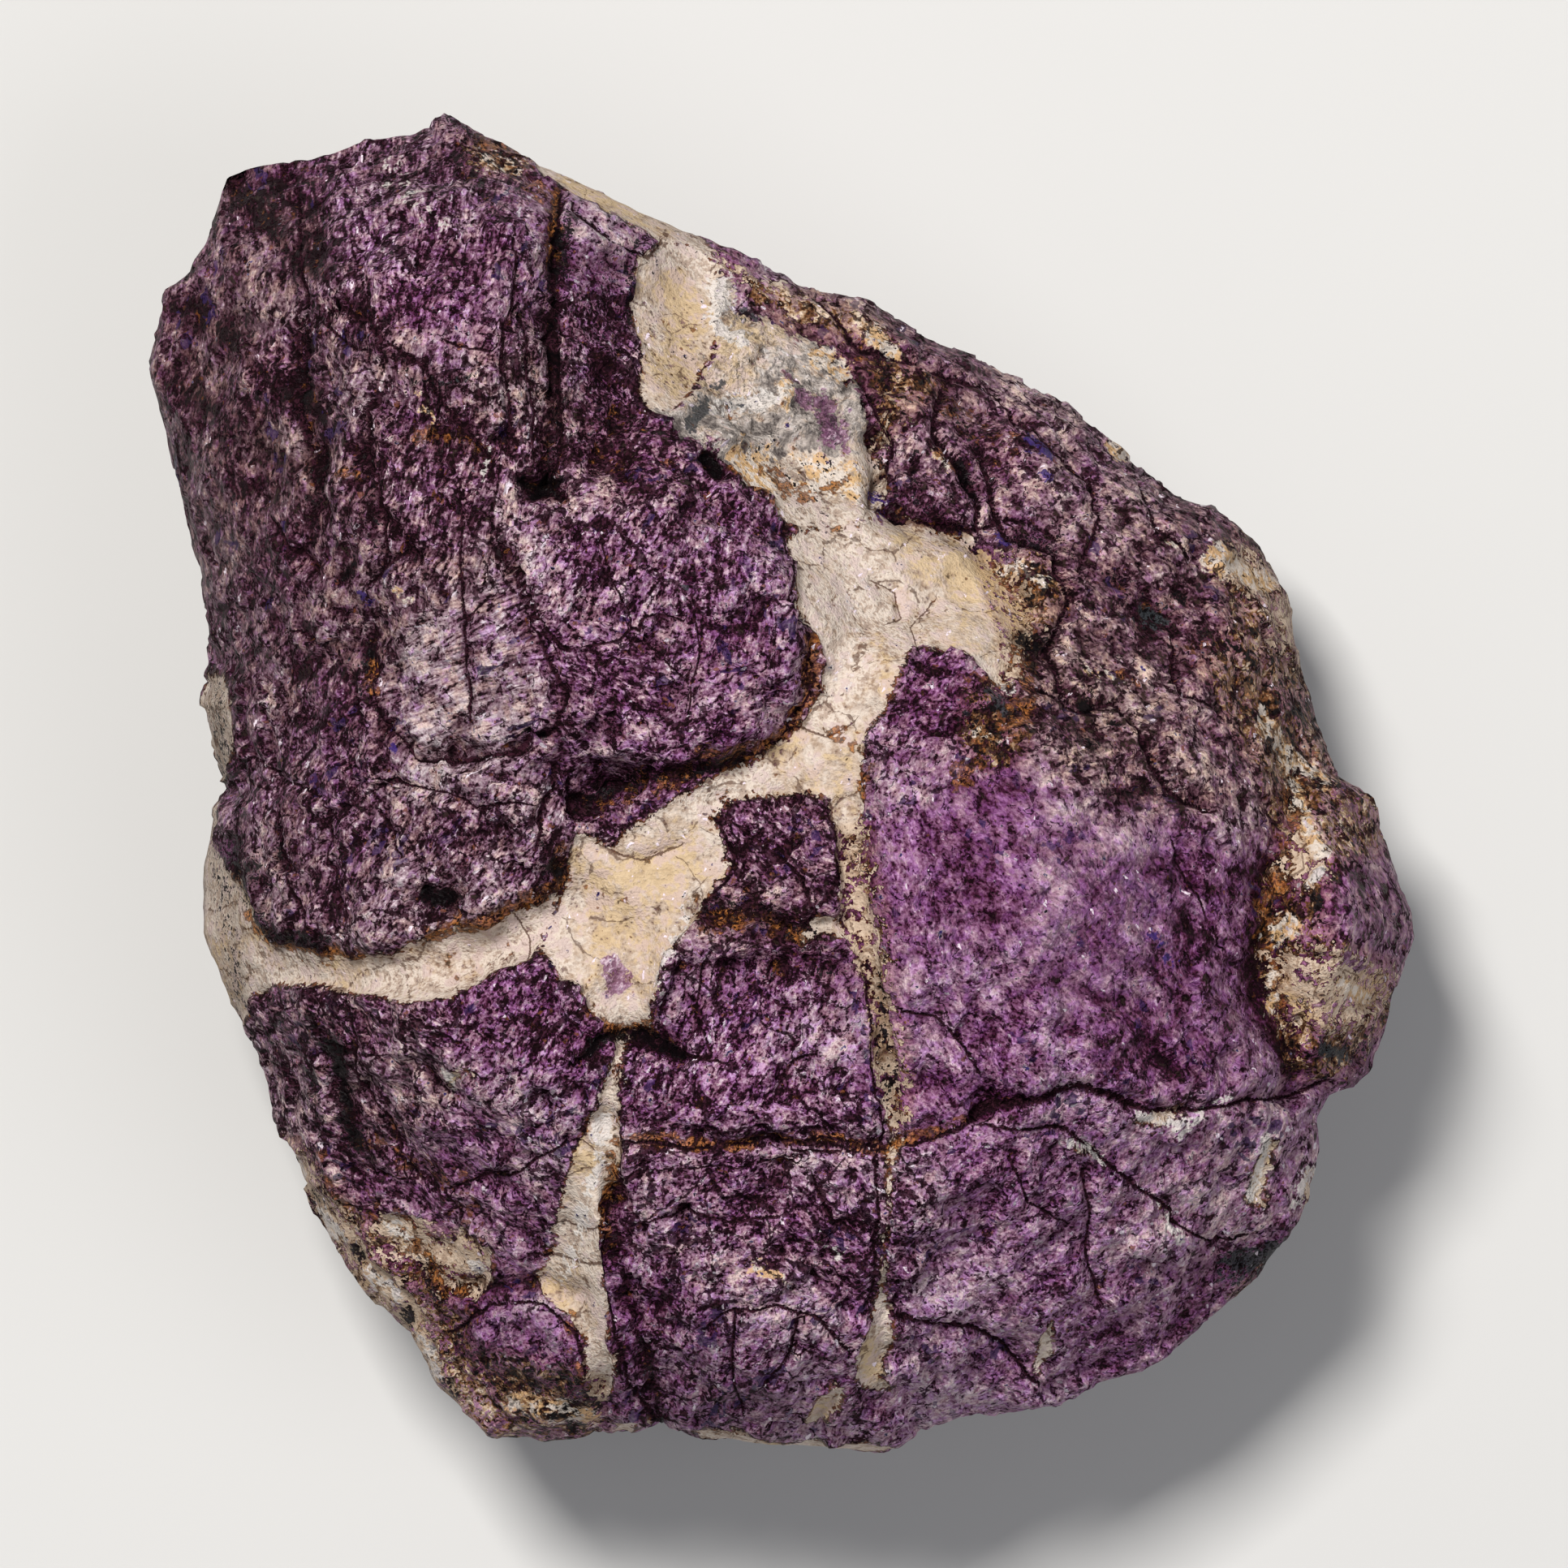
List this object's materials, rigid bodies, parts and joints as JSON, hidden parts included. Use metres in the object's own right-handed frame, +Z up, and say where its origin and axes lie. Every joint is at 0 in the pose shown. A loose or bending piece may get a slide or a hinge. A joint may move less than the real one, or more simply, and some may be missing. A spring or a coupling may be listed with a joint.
{
  "type": "purpurite specimen",
  "caption": "Rough hand specimen of purpurite: a purple cleavable lump parted by pale cream veins and rusty cracks, lying on a broad flat back.",
  "frame": {"origin": "on the resting face, under the middle of the bounding box", "axes": "+Z up, away from the flat back; +Y towards the pointed lobe; +X towards the rounded knob on the right of the best face"},
  "size_m": [0.0666, 0.07, 0.0411],
  "materials": {
    "purple_stone": "rough broken mineral, silky sheen on the cleavage faces"
  },
  "bodies": {
    "root": {"purpurite_stone": "purple_stone"}
  },
  "joints": []
}
